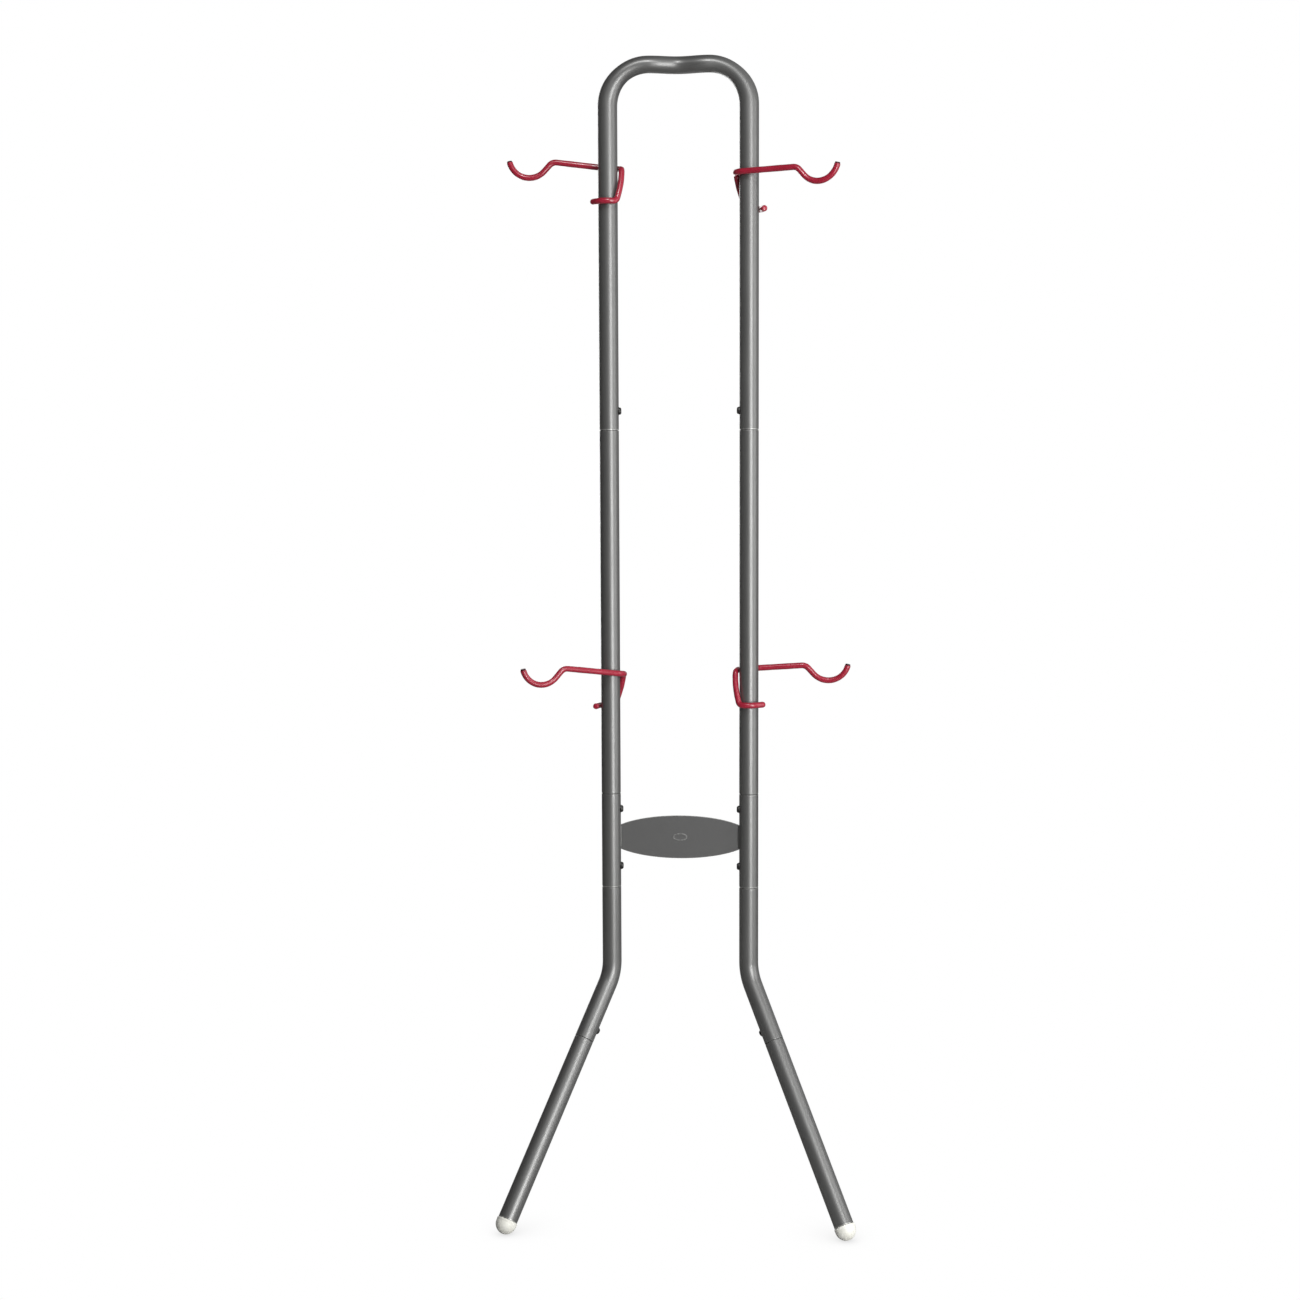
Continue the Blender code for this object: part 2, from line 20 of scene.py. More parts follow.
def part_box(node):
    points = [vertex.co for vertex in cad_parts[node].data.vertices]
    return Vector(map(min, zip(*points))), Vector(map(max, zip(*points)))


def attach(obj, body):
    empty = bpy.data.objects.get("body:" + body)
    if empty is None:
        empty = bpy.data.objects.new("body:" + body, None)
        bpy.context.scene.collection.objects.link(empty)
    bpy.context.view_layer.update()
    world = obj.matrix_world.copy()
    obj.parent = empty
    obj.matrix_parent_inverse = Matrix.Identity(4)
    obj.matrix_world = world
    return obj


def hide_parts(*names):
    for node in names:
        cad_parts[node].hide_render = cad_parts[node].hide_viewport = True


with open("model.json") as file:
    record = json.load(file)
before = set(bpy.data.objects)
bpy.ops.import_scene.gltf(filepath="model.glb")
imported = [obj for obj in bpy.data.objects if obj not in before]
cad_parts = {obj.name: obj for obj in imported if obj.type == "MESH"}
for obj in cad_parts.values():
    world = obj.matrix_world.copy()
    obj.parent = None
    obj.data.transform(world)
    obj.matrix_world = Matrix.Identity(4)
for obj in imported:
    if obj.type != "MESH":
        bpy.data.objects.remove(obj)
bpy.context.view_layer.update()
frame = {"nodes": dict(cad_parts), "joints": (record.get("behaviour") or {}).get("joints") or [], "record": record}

# Tubes, read from the frame; the hoop's is flattened by bending, as shares of its radius
NECK_LENGTH = 0.055
FLATTENING = 0.14
WIDENING = 0.13
upright_low, upright_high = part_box("left_upright")
mounts = {mount["name"]: Vector(mount["pos_m"]) for mount in frame["record"]["mounts"]}
TUBE_RADIUS = (upright_high.x - upright_low.x) / 2
UPRIGHT_X = -(upright_high.x + upright_low.x) / 2
UPRIGHT_Y = (upright_high.y + upright_low.y) / 2
UPPER_SEAM = upright_high.z - NECK_LENGTH
MIDDLE_SEAM = upright_low.z + NECK_LENGTH
LOWER_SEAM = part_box("left_brace_tube")[0].z
CROSSBAR_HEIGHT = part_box("top_hoop")[1].z - TUBE_RADIUS * (1 - FLATTENING)
WALL_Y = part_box("wall_pad")[1].y
FOOT_X = mounts["right_foot"].x
FOOT_Y = mounts["right_foot"].y

# Tubes, other sizes
SMOOTH_ANGLE = math.radians(38)
TUBE_SIDES = 56
STATION_GAP = 0.0008
TUBE_WALL = 0.0015
BORE_RADIUS = TUBE_RADIUS - TUBE_WALL
BEND_RADIUS = 0.078
CROSSBAR_BOW = 0.012
FLATTENING_START = math.radians(10)
FLATTENING_END = math.radians(60)
KNEE_HEIGHT = 0.448
LEG_SEAM_DISTANCE = 0.146

# Cut lips of the tubes, and swaged necks that go into them
LIP_ROUNDING = 0.0006
LIP_REACH = 0.0040
LIP_BAND = 0.0014
LIP_FADE = 0.0006
LIP_SHINE = 1.0
PLAIN_LIP_SHINE = 0.2
LIP_BORE_SHINE = 0.6
SEAM_GAP = 0.0010
NECK_RADIUS = 0.0171
NECK_BORE_RADIUS = NECK_RADIUS - TUBE_WALL
NECK_TIP_LENGTH = 0.0008
NECK_TIP_ROUNDING = 0.0006
NECK_TIP_SHINE = 0.5
SHOULDER_ROUNDING = 0.0012
SHOULDER_FADE = 0.0005
SHOULDER_STEP = 0.0001
SHOULDER_SHINE = 0.2
SWAGE_LENGTH = 0.006

# Bolts, with heights measured from the tube's axis
BOLT_OFFSETS = {"upper": 0.037, "middle": -0.031, "lower": 0.041, "leg": -0.027}
LEG_BOLT_TURN = math.radians(40)
BOLT_SIDES = 40
SHANK_RADIUS = 0.0040
SHANK_CUT = 0.0080
SHANK_CHAMFER = 0.0004
HEAD_RADIUS = 0.0070
HEAD_FLAT_RADIUS = 0.0036
HEAD_UNDERCUT = 0.0003
HEAD_EDGE = 0.0010
HEAD_TOP = 0.02395
WASHER_RADIUS = 0.0078
WASHER_BORE_RADIUS = 0.0042
WASHER_TOP = 0.0197
WASHER_GAP = 0.00002
SOCKET_RADIUS = 0.0029
SOCKET_DEPTH = 0.0022
SOCKET_CHAMFER = 0.0002
SOCKET_POINT = 0.0006

# Brace plate and its welds
PLATE_HEIGHT = 0.7246
PLATE_HALF_LENGTH = 0.144
PLATE_HALF_HEIGHT = 0.043
PLATE_THICKNESS = 0.003
PLATE_ROUNDING = 0.0006
PLATE_FLAT_INSET = 0.0004
PLATE_EDGE_WEAR = 0.5
BADGE_SIDES = 72
BADGE_HALF_LENGTH = 0.0150
BADGE_HALF_HEIGHT = 0.0082
BADGE_SQUASH = 1.6
WELD_SIDES = 20
WELD_STEPS = 66
WELD_RADIUS = 0.0034
WELD_HALF_LENGTH = 0.0235
WELD_OVERLAP = 0.0006
WELD_RIPPLE_LENGTH = 0.0032
WELD_RIPPLE_SHARE = 0.10
WELD_END_SHARE = 0.08

# The badge's section from its rim to its middle: (share of its size, rise, wear and glint, partly rubbed and
# partly a painted highlight)
BADGE_PROFILE = (
    (1.00, -0.0004, 0.0),
    (1.00, 0.00005, 0.0),
    (0.97, 0.00032, 0.2),
    (0.92, 0.0005, 0.3),
    (0.86, 0.0005, 0.3),
    (0.80, 0.00030, 0.2),
    (0.74, 0.00012, 0.0),
    (0.40, 0.00016, 0.0),
)

# Foot caps
CAP_RADIUS = 0.0204
CAP_CENTRE_HEIGHT = 0.0197
CAP_RIM = 0.0062
CAP_SEAT_GAP = 0.0004
CAP_FLAT_HEIGHT = 0.00005
STEM_RADIUS = BORE_RADIUS - 0.0004
STEM_LENGTH = 0.0240
STEM_CHAMFER = 0.0012
STEM_CHAMFER_LENGTH = 0.0015
COLLAR_LENGTH = 0.0032
COLLAR_ROUNDING = 0.0009
COLLAR_STEP = 0.00022
COLLAR_STEP_LENGTH = 0.0004
DOME_RADIUS = CAP_RADIUS - COLLAR_STEP
DOME_STEPS = 22

# Wall pad
PAD_STEPS = 56
PAD_ARC_STEPS = 20
PAD_GAP = 0.00035
PAD_SIDE_THICKNESS = 0.0115
PAD_HALF_WIDTH = 0.014
PAD_HALF_ANGLE = math.radians(20)
PAD_END_LENGTH = 0.0022
PAD_END_ROUNDING = 0.0012
PAD_END_TURN = math.radians(3)
PAD_GROOVE = 0.0008
PAD_GROOVE_PITCH = 0.0045
PAD_GROOVE_LEVEL = 0.45
PAD_GROOVE_MARGIN = 0.003

# Hooks: dipped wire, drawn along its centre line about the upright's axis
WIRE_SIDES = 28
WIRE_RADIUS = 0.006
STEEL_RADIUS = 0.0051
STEEL_SHOWING = 0.0026
VINYL_STEPS = 70
VINYL_ROUNDING = 0.0011
VINYL_LIP = 0.0004
VINYL_LIP_RADIUS = STEEL_RADIUS - 0.0012
VINYL_THINNING = 0.00014
VINYL_WAVES = ((0.00008, 137.0), (0.00006, 311.0))
WRAP_RADIUS = 0.0268
HOOK_DROP = 0.068
ARM_LENGTH = 0.1025
NECK_SLOPE = math.radians(47.5)
CREST_RADIUS = 0.0165
CUP_NECK_LENGTH = 0.0149
CUP_RADIUS = 0.0396
CUP_END_SLOPE = math.radians(80)
WRAP_BEND_RADIUS = 0.011
WRAP_BEND_START = math.radians(71)
WRAP_DIVE = math.radians(68)
WRAP_END = math.radians(227)
STUB_LENGTH = 0.0163

# Which way each hook's wire winds, and its swivel and its arm's slope at rest, in degrees
HOOK_HANDS = {"upper_left": 1, "upper_right": 1, "lower_left": -1, "lower_right": -1}
HOOK_SWIVELS = {"upper_left": 1.0, "upper_right": 23.0, "lower_left": 27.0, "lower_right": 5.0}
ARM_SLOPES = {"upper_left": 7.0, "upper_right": 0.5, "lower_left": 7.5, "lower_right": 4.0}

# The cut end of a wire, from its face inwards: (distance, radius)
WIRE_END = (
    (0.0, STEEL_RADIUS - 0.0009),
    (0.0003, STEEL_RADIUS - 0.0004),
    (0.0009, STEEL_RADIUS),
    (STEEL_SHOWING + 0.0015, STEEL_RADIUS),
)

# Camera, at the photograph's viewpoint, and studio
CAMERA_PLACE = Vector((0.1815, -3.8816, 1.469))
CAMERA_PITCH = math.radians(-5.283)
CAMERA_TURN = math.radians(3.437)
CAMERA_ROLL = math.radians(-0.22)
SENSOR_WIDTH = 36.0
LENS = 56.24
FLOOR_RADIUS = 40.0
CONTACT_DISTANCE = 0.12

SIDES = (("left", -1), ("right", 1))


# ---------------------------------------------------------------- materials


def shader_nodes(name):
    """A new material, its node tree and its Principled shader."""
    material = bpy.data.materials.new(name)
    material.use_nodes = True
    tree = material.node_tree
    return material, tree, tree.nodes["Principled BSDF"]


def noise(tree, scale, detail, stretch=(1, 1, 1)):
    """A noise texture in the object's own metres."""
    place = tree.nodes.new("ShaderNodeTexCoord")
    mapping = tree.nodes.new("ShaderNodeMapping")
    mapping.inputs["Scale"].default_value = stretch
    texture = tree.nodes.new("ShaderNodeTexNoise")
    texture.inputs["Scale"].default_value = scale
    texture.inputs["Detail"].default_value = detail
    tree.links.new(place.outputs["Object"], mapping.inputs["Vector"])
    tree.links.new(mapping.outputs["Vector"], texture.inputs["Vector"])
    return texture.outputs["Fac"]


def spread(tree, value, low, high, start=0.3, end=0.7):
    """Maps a noise value to a range."""
    node = tree.nodes.new("ShaderNodeMapRange")
    node.inputs["From Min"].default_value = start
    node.inputs["From Max"].default_value = end
    node.inputs["To Min"].default_value = low
    node.inputs["To Max"].default_value = high
    tree.links.new(value, node.inputs["Value"])
    return node.outputs["Result"]


def blend_colours(tree, factor, first, second):
    """A colour between two, which are each a tuple or another node's output."""
    node = tree.nodes.new("ShaderNodeMix")
    node.data_type = "RGBA"
    tree.links.new(factor, node.inputs["Factor"])
    for socket, colour in ((node.inputs[6], first), (node.inputs[7], second)):
        if isinstance(colour, tuple):
            socket.default_value = (*colour, 1.0)
        else:
            tree.links.new(colour, socket)
    return node.outputs[2]


def add_bump(tree, shader, layers):
    """Stacks bumps, each (height, depth in metres), on the shader's normal."""
    normal = None
    for height, depth in layers:
        bump = tree.nodes.new("ShaderNodeBump")
        bump.inputs["Strength"].default_value = 1.0
        bump.inputs["Distance"].default_value = depth
        tree.links.new(height, bump.inputs["Height"])
        if normal is not None:
            tree.links.new(normal, bump.inputs["Normal"])
        normal = bump.outputs["Normal"]
    tree.links.new(normal, shader.inputs["Normal"])


def multiply(tree, first, second):
    """The product of two outputs."""
    node = tree.nodes.new("ShaderNodeMath")
    node.operation = "MULTIPLY"
    tree.links.new(first, node.inputs[0])
    tree.links.new(second, node.inputs[1])
    return node.outputs[0]


def powder_coat(name, dark, light, smooth, rough, metallic, gloss=0.0):
    """Graphite powder coat: fine metallic grain, faint orange peel, thin lightened edges that are partly rubbed
    coat and partly a painted glint at the seams.
    """
    material, tree, shader = shader_nodes(name)
    grain = noise(tree, 5200, 2)
    peel = noise(tree, 620, 2)
    clouds = noise(tree, 9, 3)
    coat = blend_colours(tree, spread(tree, grain, 0, 1), dark, light)
    # Blends towards a bare-metal colour by the wear and glint attribute: partly rubbed coat, partly a painted
    # glint along the seams.
    edge = tree.nodes.new("ShaderNodeAttribute")
    edge.attribute_name = "wear_and_glint"
    patches = spread(tree, noise(tree, 260, 4), 0.15, 1.0, 0.35, 0.6)
    rubbed_and_glint = multiply(tree, edge.outputs["Fac"], patches)
    bare_and_glint = (0.62, 0.62, 0.60)
    tree.links.new(blend_colours(tree, rubbed_and_glint, coat, bare_and_glint), shader.inputs["Base Color"])
    tree.links.new(spread(tree, clouds, smooth, rough), shader.inputs["Roughness"])
    shader.inputs["Metallic"].default_value = metallic
    shader.inputs["Coat Weight"].default_value = gloss
    shader.inputs["Coat Roughness"].default_value = 0.20
    add_bump(tree, shader, [(peel, 0.000008), (grain, 0.000002)])
    return material


def dipped_vinyl():
    """Red vinyl, dipped: glossy, softly uneven, a little dust in the skin."""
    material, tree, shader = shader_nodes("red_vinyl_dip")
    skin = noise(tree, 340, 2)
    clouds = noise(tree, 38, 3)
    dust = noise(tree, 4200, 1)
    deep = (0.35, 0.011, 0.032)
    bright = (0.43, 0.017, 0.046)
    colour = blend_colours(tree, spread(tree, clouds, 0, 1), deep, bright)
    tree.links.new(colour, shader.inputs["Base Color"])
    tree.links.new(spread(tree, skin, 0.24, 0.36), shader.inputs["Roughness"])
    shader.inputs["Specular IOR Level"].default_value = 0.55
    shader.inputs["Coat Weight"].default_value = 0.50
    shader.inputs["Coat Roughness"].default_value = 0.16
    add_bump(tree, shader, [(clouds, 0.00016), (skin, 0.00005), (dust, 0.000004)])
    return material


def moulded_plastic():
    """Off-white polyethylene with a fine spark-eroded grain, unevenly yellowed."""
    material, tree, shader = shader_nodes("white_moulded_plastic")
    grain = noise(tree, 2600, 3)
    clouds = noise(tree, 55, 3)
    cream = (0.95, 0.94, 0.85)
    white = (0.98, 0.975, 0.91)
    colour = blend_colours(tree, spread(tree, clouds, 0, 1), cream, white)
    tree.links.new(colour, shader.inputs["Base Color"])
    tree.links.new(spread(tree, grain, 0.36, 0.52), shader.inputs["Roughness"])
    shader.inputs["Sheen Weight"].default_value = 0.35
    shader.inputs["Sheen Roughness"].default_value = 0.6
    add_bump(tree, shader, [(grain, 0.000004)])
    return material


def steel(name, dark, light, smooth, rough, stain_scale):
    """Plated or oxidised steel with turning marks and stains."""
    material, tree, shader = shader_nodes(name)
    stains = noise(tree, stain_scale, 4)
    marks = noise(tree, 2400, 2)
    colour = blend_colours(tree, spread(tree, stains, 0, 1), dark, light)
    tree.links.new(colour, shader.inputs["Base Color"])
    tree.links.new(spread(tree, marks, smooth, rough), shader.inputs["Roughness"])
    shader.inputs["Metallic"].default_value = 0.9
    add_bump(tree, shader, [(marks, 0.00001)])
    return material


def moulded_rubber():
    """Matte black rubber with a bloom of wax."""
    material, tree, shader = shader_nodes("black_moulded_rubber")
    grain = noise(tree, 1900, 4)
    bloom = noise(tree, 90, 4)
    black = (0.016, 0.016, 0.017)
    waxy = (0.034, 0.034, 0.035)
    colour = blend_colours(tree, spread(tree, bloom, 0, 1), black, waxy)
    tree.links.new(colour, shader.inputs["Base Color"])
    tree.links.new(spread(tree, grain, 0.62, 0.85), shader.inputs["Roughness"])
    add_bump(tree, shader, [(grain, 0.00006)])
    return material


# ---------------------------------------------------------------- mesh helpers


def write_mesh(bm, mesh):
    """Moves a bmesh into a mesh, shaded smooth but for its sharp edges."""
    bm.to_mesh(mesh)
    bm.free()
    mesh.shade_smooth()
    mesh.set_sharp_from_angle(angle=SMOOTH_ANGLE)


def finish_mesh(name, bm):
    """Turns a bmesh into a new mesh with outward faces."""
    bmesh.ops.recalc_face_normals(bm, faces=bm.faces)
    mesh = bpy.data.meshes.new(name)
    write_mesh(bm, mesh)
    return mesh


def add_piece(name, mesh, material, body, replaced=()):
    """Links a piece, gives it its finish, and fixes it to its body."""
    piece = bpy.data.objects.new(name, mesh)
    piece.data.materials.append(material)
    bpy.context.scene.collection.objects.link(piece)
    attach(piece, body)
    if replaced:
        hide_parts(*replaced)
    return piece


def loft(name, rings, closed, wear_and_glint=None):
    """Skins rings of equal count; wear and glint is a value for each ring, kept as a point attribute: partly
    rubbed coat, partly a painted glint.
    """
    bm = bmesh.new()
    rows = [[bm.verts.new(point) for point in ring] for ring in rings]
    count = len(rows[0])
    pairs = list(zip(rows, rows[1:]))
    if closed:
        pairs.append((rows[-1], rows[0]))
    else:
        bm.faces.new(rows[0])
        bm.faces.new(reversed(rows[-1]))
    for near, far in pairs:
        for i in range(count):
            j = (i + 1) % count
            bm.faces.new((near[i], near[j], far[j], far[i]))
    mesh = finish_mesh(name, bm)
    if wear_and_glint:
        values = [value for value in wear_and_glint for _ in range(count)]
        mesh.attributes.new("wear_and_glint", "FLOAT", "POINT").data.foreach_set("value", values)
    return mesh


def oval(centre, normal, across, near, wide, sides):
    """Points round a centre, at a radius of near along the cross direction and wide beside it."""
    side = normal.cross(across)
    points = []
    for i in range(sides):
        angle = math.tau * i / sides
        offset = across * (near * math.cos(angle)) + side * (wide * math.sin(angle))
        points.append(centre + offset)
    return points


def circle(centre, normal, across, radius, sides):
    """Points round a centre."""
    return oval(centre, normal, across, radius, radius, sides)


def measured_line(points, across):
    """(distance, point, tangent, across) at each point; the cross direction doesn't twist."""
    line = []
    distance = 0.0
    for i, point in enumerate(points):
        if i:
            distance += (point - points[i - 1]).length
        ahead = points[min(i + 1, len(points) - 1)]
        behind = points[max(i - 1, 0)]
        tangent = (ahead - behind).normalized()
        across = (across - tangent * across.dot(tangent)).normalized()
        line.append((distance, point, tangent, across))
    return line


def place_on(line, distance):
    """Point, tangent and cross direction at a distance along a line."""
    for near, far in zip(line, line[1:]):
        if distance <= far[0] or far is line[-1]:
            share = (distance - near[0]) / (far[0] - near[0])
            point = near[1].lerp(far[1], share)
            tangent = near[2].lerp(far[2], min(max(share, 0), 1)).normalized()
            across = near[3].lerp(far[3], min(max(share, 0), 1))
            return point, tangent, (across - tangent * across.dot(tangent)).normalized()


def follow_bends(line, outline, closed):
    """Adds the line's own stations between those of an outline."""
    full = [outline[0]]
    pairs = list(zip(outline, outline[1:]))
    if closed:
        pairs.append((outline[-1], outline[0]))
    for before, after in pairs:
        low, high = sorted((before[0], after[0]))
        inner = [entry[0] for entry in line if low + STATION_GAP < entry[0] < high - STATION_GAP]
        if after[0] < before[0]:
            inner = inner[::-1]
        for distance in inner:
            share = (distance - before[0]) / (after[0] - before[0])
            radius = before[1] + (after[1] - before[1]) * share
            full.append((distance, radius, before[2] + (after[2] - before[2]) * share))
        full.append(after)
    return full[:-1] if closed else full


def flattened_ring(centre, tangent, across, radius, sides):
    """Points round the hoop's tube: round where it is upright, flattened where it lies over."""
    turn = math.acos(min(abs(tangent.z), 1.0))
    share = (turn - FLATTENING_START) / (FLATTENING_END - FLATTENING_START)
    share = min(max(share, 0.0), 1.0)
    share = share * share * (3 - 2 * share)
    near = radius - TUBE_RADIUS * FLATTENING * share
    wide = radius + TUBE_RADIUS * WIDENING * share
    return oval(centre, tangent, across, near, wide, sides)


def sweep(name, points, across, outline, sides, closed, section=circle):
    """Carries an outline along a line of points."""
    line = measured_line(points, across)
    full = follow_bends(line, outline, closed)
    rings = []
    for distance, radius, _ in full:
        point, tangent, side = place_on(line, distance)
        rings.append(section(point, tangent, side, radius, sides))
    return loft(name, rings, closed, [wear_and_glint for _, _, wear_and_glint in full])


def arc(radius, start, end, steps):
    """Points (x, y) of an arc about 0, 0, angles in degrees."""
    points = []
    for i in range(steps + 1):
        angle = math.radians(start + (end - start) * i / steps)
        points.append((radius * math.cos(angle), radius * math.sin(angle)))
    return points


def turned(name, rings, axis, origin, sides):
    """A turned solid from (radius, height) rings along an axis."""
    across = axis.orthogonal().normalized()
    rows = [circle(origin + axis * height, axis, across, radius, sides) for radius, height in rings]
    return loft(name, rows, closed=False)


# ---------------------------------------------------------------- tube lines


def upright_point(side, height):
    """A point on an upright's axis."""
    return Vector((side * UPRIGHT_X, UPRIGHT_Y, height))


def leg_axis(side):
    """From the knee's corner to the centre of the foot cap's dome."""
    foot = Vector((side * FOOT_X, FOOT_Y, CAP_CENTRE_HEIGHT))
    return foot - upright_point(side, KNEE_HEIGHT)


def leg_point(side, distance):
    """A point on a leg's axis at a distance from the knee's corner."""
    return upright_point(side, KNEE_HEIGHT) + leg_axis(side).normalized() * distance


def bent_path(corners, steps):
    """Straight runs through the corners, each corner rounded to the tube bender's radius."""
    path = [corners[0]]
    for before, corner, after in zip(corners, corners[1:], corners[2:]):
        incoming = (corner - before).normalized()
        outgoing = (after - corner).normalized()
        turn = incoming.angle(outgoing)
        start = corner - incoming * (BEND_RADIUS * math.tan(turn / 2))
        inward = (outgoing - incoming * outgoing.dot(incoming)).normalized()
        for i in range(steps + 1):
            angle = turn * i / steps
            ahead = incoming * (BEND_RADIUS * math.sin(angle))
            aside = inward * (BEND_RADIUS * (1 - math.cos(angle)))
            path.append(start + ahead + aside)
    path.append(corners[-1])
    return path


def crossbar_points(half_width, steps):
    """Points along the bowed crossbar from -half_width to half_width."""
    half = UPRIGHT_X - BEND_RADIUS
    points = []
    for i in range(steps + 1):
        x = half_width * (2 * i / steps - 1)
        bow = CROSSBAR_BOW * (1 + math.cos(math.pi * x / half)) / 2
        points.append(Vector((x, UPRIGHT_Y + bow, CROSSBAR_HEIGHT)))
    return points


def hoop_points():
    """The inverted U: two legs, two bends and the bowed crossbar."""
    corners = [
        upright_point(-1, UPPER_SEAM),
        upright_point(-1, CROSSBAR_HEIGHT),
        upright_point(1, CROSSBAR_HEIGHT),
        upright_point(1, UPPER_SEAM),
    ]
    bends = bent_path(corners, steps=24)
    middle = len(bends) // 2
    crossbar = crossbar_points(UPRIGHT_X - BEND_RADIUS, steps=36)[1:-1]
    return bends[:middle] + crossbar + bends[middle:]


# ---------------------------------------------------------------- tubes


def lip(distance, direction, shine=LIP_SHINE):
    """The outline of a tube's cut end, with its two edges rounded."""
    rounding = LIP_ROUNDING
    inset = distance + direction * rounding
    points = [
        (distance + direction * LIP_REACH, TUBE_RADIUS, 0.0),
        # A thin band near the cut end and its rounded edge are lightened: partly rubbed bare metal, partly a
        # painted glint along the seam.
        (distance + direction * (LIP_BAND + LIP_FADE), TUBE_RADIUS, 0.0),
        (distance + direction * LIP_BAND, TUBE_RADIUS, shine),
    ]
    for x, y in arc(rounding, 90, 180, 3):
        points.append((inset + direction * x, TUBE_RADIUS - rounding + y, shine))
    for x, y in arc(rounding, 180, 270, 3):
        points.append((inset + direction * x, BORE_RADIUS + rounding + y, LIP_BORE_SHINE))
    points.append((distance + direction * LIP_REACH, BORE_RADIUS, 0.0))
    return points


def neck(tip, direction):
    """The outline of a swaged neck, from the full tube down to its tip and back inside."""
    shoulder = tip + direction * (NECK_LENGTH + SEAM_GAP)
    rounding = SHOULDER_ROUNDING
    inset = shoulder + direction * rounding
    points = [
        (shoulder + direction * (SWAGE_LENGTH + LIP_REACH), TUBE_RADIUS, 0.0),
        (inset + direction * SHOULDER_FADE, TUBE_RADIUS, 0.0),
    ]
    # The shoulder's rounding is lightened a little: partly rubbed coat, partly a painted glint at the seam.
    for x, y in arc(rounding, 90, 180, 5):
        points.append((inset + direction * x, TUBE_RADIUS - rounding + y, SHOULDER_SHINE))
    points += [
        (shoulder - direction * SHOULDER_STEP, NECK_RADIUS, 0.0),
        (tip + direction * NECK_TIP_LENGTH, NECK_RADIUS, 0.0),
        (tip, NECK_RADIUS - NECK_TIP_ROUNDING, NECK_TIP_SHINE),
        (tip, NECK_BORE_RADIUS + NECK_TIP_ROUNDING / 2, NECK_TIP_SHINE),
        (tip + direction * NECK_TIP_ROUNDING / 2, NECK_BORE_RADIUS, 0.0),
        (shoulder, NECK_BORE_RADIUS, 0.0),
        (shoulder + direction * SWAGE_LENGTH, BORE_RADIUS, 0.0),
    ]
    return points


def make_tube(name, points, start, end, material, section=circle):
    """A hollow tube along points, in place of the CAD tube of that name.

    Each end's outline is a lip or a neck, and the tube's skin closes round both.
    """
    outline = start[::-1] + end
    piece = f"{name}_coated"
    mesh = sweep(piece, points, Vector((1, 0, 0)), outline, TUBE_SIDES, True, section)
    add_piece(piece, mesh, material, "frame", [name])


def line_length(points):
    """The length of a line of points."""
    return sum((b - a).length for a, b in zip(points, points[1:]))


def make_tubes(material):
    """The hoop, uprights, brace tubes, knee tubes and legs."""
    points = hoop_points()
    end = lip(line_length(points), -1)
    make_tube("top_hoop", points, lip(0.0, 1), end, material, flattened_ring)
    for label, side in SIDES:
        points = [upright_point(side, upright_high.z), upright_point(side, upright_low.z)]
        end = neck(line_length(points), -1)
        make_tube(f"{label}_upright", points, neck(0.0, 1), end, material)

        points = [upright_point(side, MIDDLE_SEAM), upright_point(side, LOWER_SEAM)]
        end = lip(line_length(points), -1)
        make_tube(f"{label}_brace_tube", points, lip(0.0, 1, PLAIN_LIP_SHINE), end, material)

        corners = [
            upright_point(side, LOWER_SEAM + NECK_LENGTH),
            upright_point(side, KNEE_HEIGHT),
            leg_point(side, LEG_SEAM_DISTANCE),
        ]
        points = bent_path(corners, steps=14)
        end = lip(line_length(points), -1, PLAIN_LIP_SHINE)
        make_tube(f"{label}_knee_tube", points, neck(0.0, 1), end, material)

        top = leg_point(side, LEG_SEAM_DISTANCE - NECK_LENGTH)
        points = [top, leg_point(side, leg_axis(side).length - CAP_RIM)]
        end = lip(line_length(points), -1)
        make_tube(f"{label}_leg_tube", points, neck(0.0, 1), end, material)


# ---------------------------------------------------------------- brace plate


def plate_half_height(x):
    """Half the plate's height at x."""
    return PLATE_HALF_HEIGHT * math.sqrt(1 - (x / PLATE_HALF_LENGTH) ** 2)


def plate_ring(half_width, depth, inset, steps=40):
    """The plate's outline at a depth behind its middle, drawn in from its top and bottom."""
    upper = []
    for i in range(steps + 1):
        x = half_width * (1 - 2 * i / steps)
        upper.append((x, plate_half_height(x) - inset))
    loop = upper + [(x, -z) for x, z in upper[::-1]]
    return [Vector((x, UPRIGHT_Y + depth, PLATE_HEIGHT + z)) for x, z in loop]


def make_plate(material):
    """The elliptical plate with rounded edges."""
    low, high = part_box("brace_plate")
    half_width = (high.x - low.x) / 2
    half = PLATE_THICKNESS / 2
    rounding = PLATE_ROUNDING
    section = [(-half, rounding + PLATE_FLAT_INSET, 0.0)]
    for x, y in arc(rounding, 0, 90, 3):
        section.append((-half + rounding - x, rounding - y, PLATE_EDGE_WEAR))
    section += [(-depth, inset, wear_and_glint) for depth, inset, wear_and_glint in section[::-1]]
    rings = [plate_ring(half_width, depth, inset) for depth, inset, _ in section]
    wear_and_glint = [wear_and_glint for _, _, wear_and_glint in section]
    mesh = loft("brace_plate_coated", rings, closed=False, wear_and_glint=wear_and_glint)
    add_piece("brace_plate_coated", mesh, material, "frame", ["brace_plate"])


